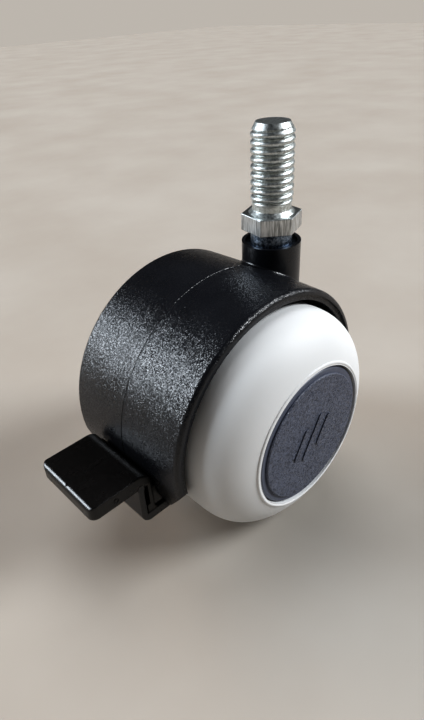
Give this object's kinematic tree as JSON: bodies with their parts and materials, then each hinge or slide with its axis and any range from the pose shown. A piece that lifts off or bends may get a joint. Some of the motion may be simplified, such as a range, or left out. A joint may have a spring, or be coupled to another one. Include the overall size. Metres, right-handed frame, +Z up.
{
  "type": "chair caster wheel",
  "caption": "Hooded swivel caster with twin wheels, a threaded stem with a hexagon, and a foot brake lever.",
  "frame": {"origin": "on the stem's axis, in the top face of the hexagon, where the furniture seats", "axes": "+Z up along the stem, Y along the axle, the wheels trail and the brake lever points towards -X"},
  "size_m": [0.072, 0.054, 0.0807],
  "materials": {
    "hood_plastic": "spark-eroded texture",
    "lever_plastic": "gloss",
    "cap_plastic": "fine texture",
    "core_plastic": "satin",
    "tread_polyurethane": "satin",
    "bush_plastic": "satin",
    "zinc_steel": "bright zinc plate",
    "spring_steel": "dark oiled steel"
  },
  "bodies": {
    "stem": {"stem": "zinc_steel", "stem_retaining_ring": "spring_steel"},
    "housing": {"housing": "hood_plastic", "stem_sleeve": "spring_steel", "thrust_washer": "zinc_steel", "axle_pin": "zinc_steel", "axle_spacers": "bush_plastic", "axle_push_nuts": "spring_steel"},
    "wheel_left": {"wheel_core_left": "core_plastic", "wheel_tyre_left": "tread_polyurethane", "wheel_bush_left": "bush_plastic", "wheel_hub_cap_left": "cap_plastic"},
    "wheel_right": {"wheel_core_right": "core_plastic", "wheel_tyre_right": "tread_polyurethane", "wheel_bush_right": "bush_plastic", "wheel_hub_cap_right": "cap_plastic"},
    "brake": {"brake_lever": "lever_plastic"}
  },
  "joints": [
    {"name": "swivel", "type": "hinge", "parent": "stem", "child": "housing", "pos_m": [0, 0, 0], "axis": [0, 0, 1], "continuous": true},
    {"name": "wheel_left_spin", "type": "hinge", "parent": "housing", "child": "wheel_left", "pos_m": [-0.0176, 0.015, -0.0372], "axis": [0, 1, 0], "continuous": true},
    {"name": "wheel_right_spin", "type": "hinge", "parent": "housing", "child": "wheel_right", "pos_m": [-0.0176, -0.015, -0.0372], "axis": [0, 1, 0], "continuous": true},
    {"name": "brake_press", "type": "hinge", "parent": "housing", "child": "brake", "pos_m": [-0.04925, 0, -0.0411], "axis": [0, -1, 0], "range_deg": [0, 12]}
  ]
}
